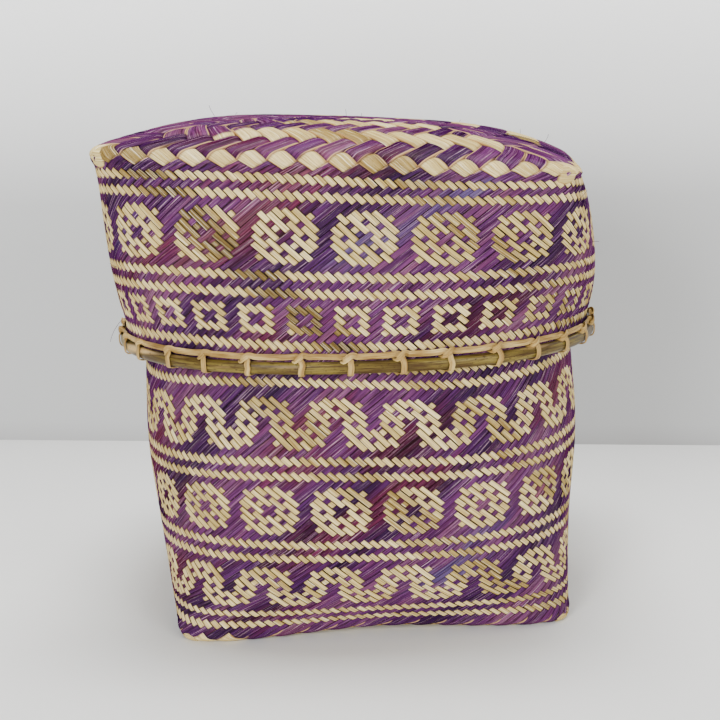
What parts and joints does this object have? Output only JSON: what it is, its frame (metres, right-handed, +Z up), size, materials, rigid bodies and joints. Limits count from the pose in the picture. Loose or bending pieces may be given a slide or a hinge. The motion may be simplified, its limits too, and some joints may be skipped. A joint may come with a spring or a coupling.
{
  "type": "woven bamboo box with sleeve lid",
  "caption": "Square-footed woven bamboo box with a round-mouthed sleeve lid that lifts straight off; patterned outer weave over a lining, with lashed bamboo rim hoops.",
  "frame": {"origin": "middle of the footprint, on the surface the box stands on", "axes": "+Z up and the way the lid lifts; X and Y square to the base's bottom edges, -Y towards the face shown in front"},
  "size_m": [0.1958, 0.1958, 0.1927],
  "materials": {
    "patterned_weave": "fine split bamboo strips, one way dyed purple and the other natural straw, with a satin sheen",
    "lining_weave": "undyed split bamboo, matt",
    "bamboo_skin": "olive tan bamboo skin, smooth and lightly glossy",
    "split_rattan": "pale split rattan, satin"
  },
  "bodies": {
    "base": {"base_outer_weave": "patterned_weave", "base_lining": "lining_weave", "base_outer_hoop": "bamboo_skin", "base_inner_hoop": "bamboo_skin", "base_rim_lashing": "split_rattan"},
    "lid": {"lid_outer_weave": "patterned_weave", "lid_lining": "lining_weave", "lid_outer_hoop": "bamboo_skin", "lid_inner_hoop": "bamboo_skin", "lid_rim_lashing": "split_rattan"}
  },
  "joints": [
    {"name": "lid_lift", "type": "slide", "parent": "base", "child": "lid", "axis": [0, 0, 1], "range_m": [0, 0.085]}
  ]
}
